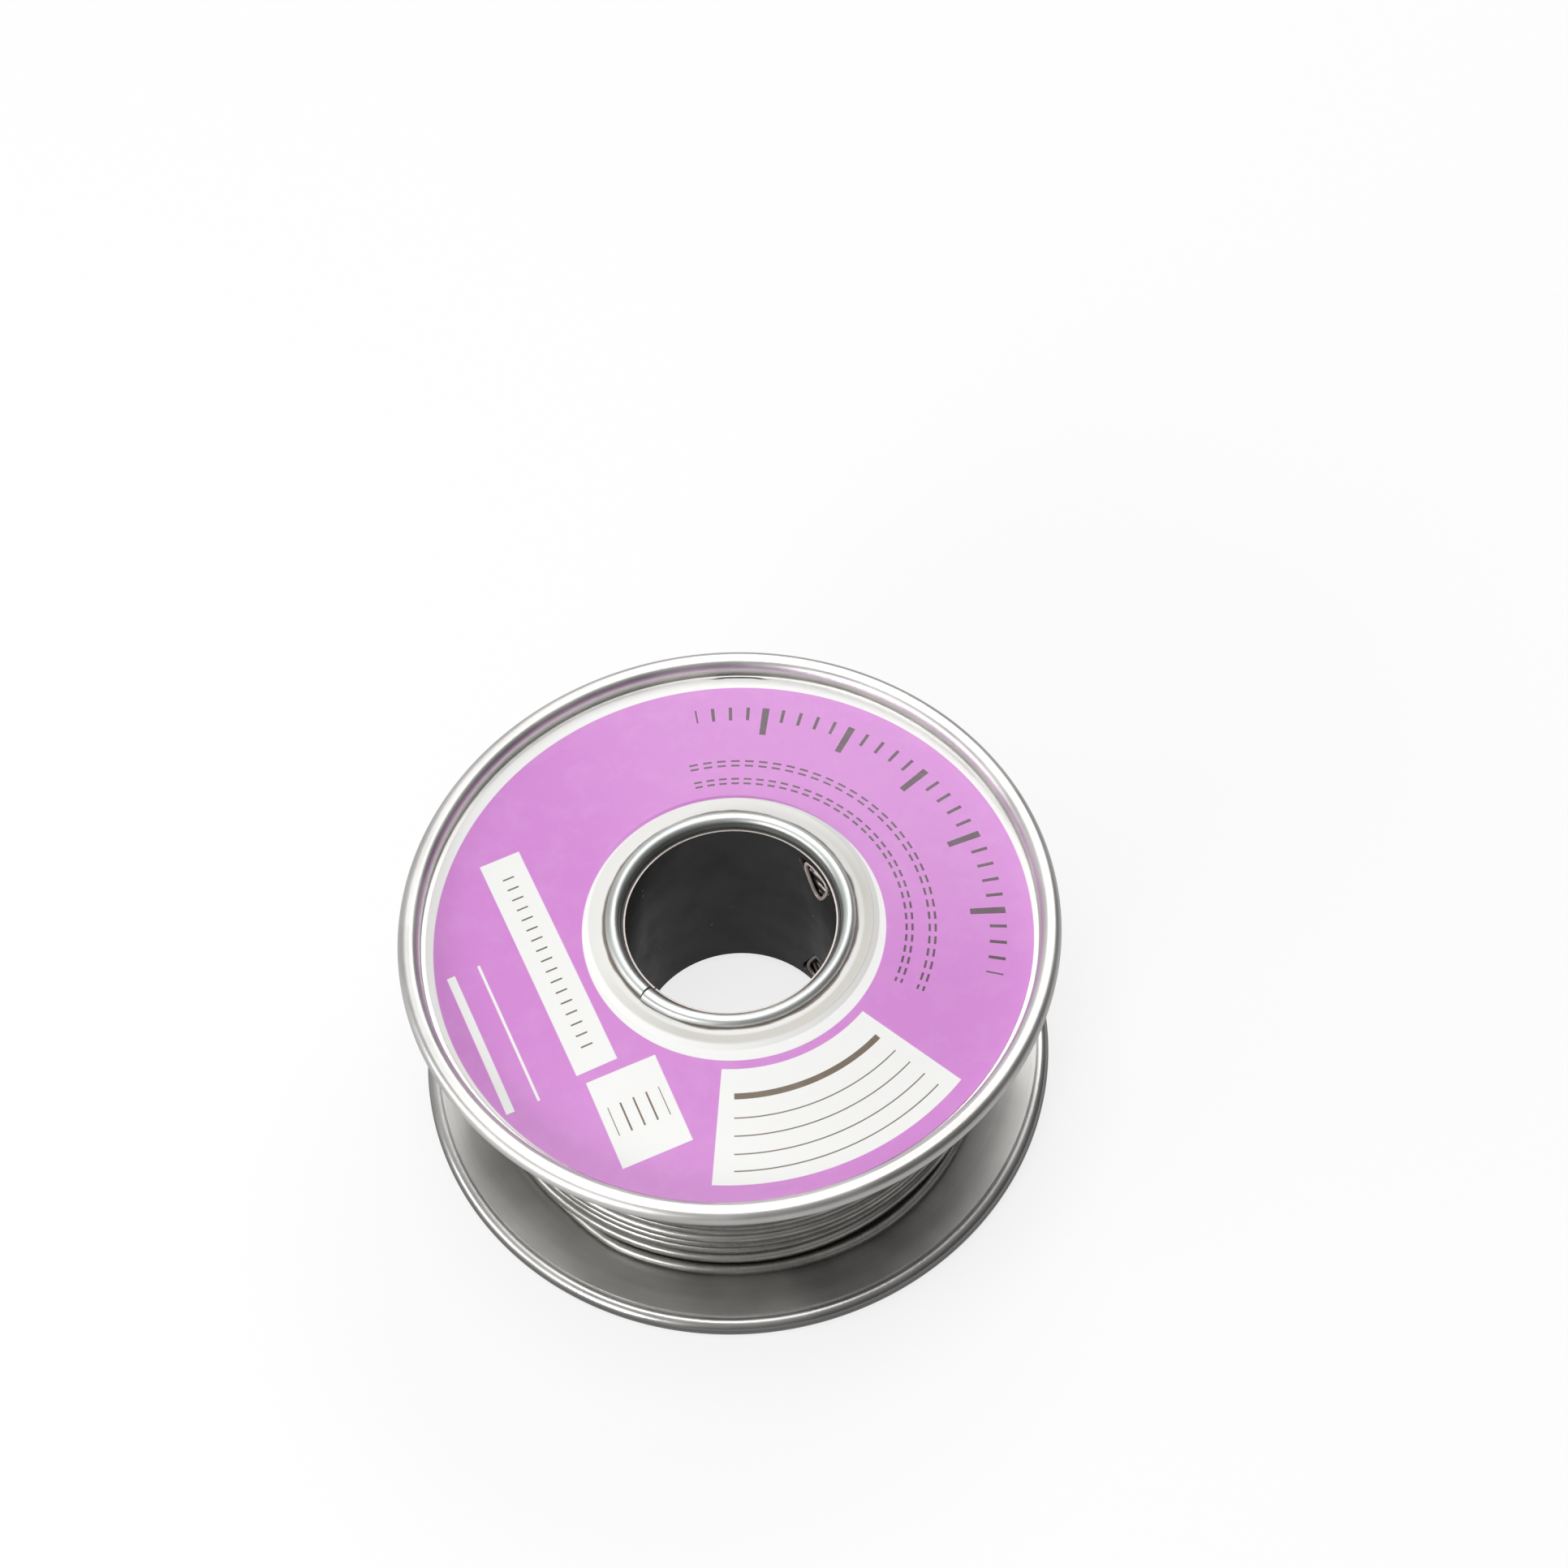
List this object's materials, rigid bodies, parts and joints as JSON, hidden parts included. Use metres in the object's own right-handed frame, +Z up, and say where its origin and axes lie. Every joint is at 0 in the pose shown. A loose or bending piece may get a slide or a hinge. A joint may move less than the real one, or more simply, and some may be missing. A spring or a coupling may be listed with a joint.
{
  "type": "solder wire spool",
  "caption": "Small round metal reel with rolled rims and a hollow hub, wound with solder wire, with a printed paper ring on its upper flange.",
  "frame": {"origin": "on the bore's axis, on the surface that the reel stands on", "axes": "+Z up along the bore, out of the labelled flange; +X to the right of the camera and +Y away from it, so the wire's slot lies near +Y"},
  "size_m": [0.05, 0.05, 0.0202],
  "materials": {
    "tinned_sheet": "bright satin tin plate",
    "dark_core": "satin near-black lacquer",
    "bright_collar": "bright satin tin plate",
    "printed_paper": "coated white paper with an orchid-purple printed ring, glossy",
    "solder": "satin grey soft solder",
    "flux": "amber rosin"
  },
  "bodies": {
    "root": {"upper_flange": "tinned_sheet", "lower_flange": "tinned_sheet", "core_tube": "dark_core", "upper_hub_collar": "bright_collar", "lower_hub_collar": "bright_collar", "paper_label": "printed_paper", "solder_inner_layers": "solder", "solder_outer_turns": "solder", "solder_first_end": "solder", "solder_free_end": "solder", "flux_core": "flux"}
  },
  "joints": []
}
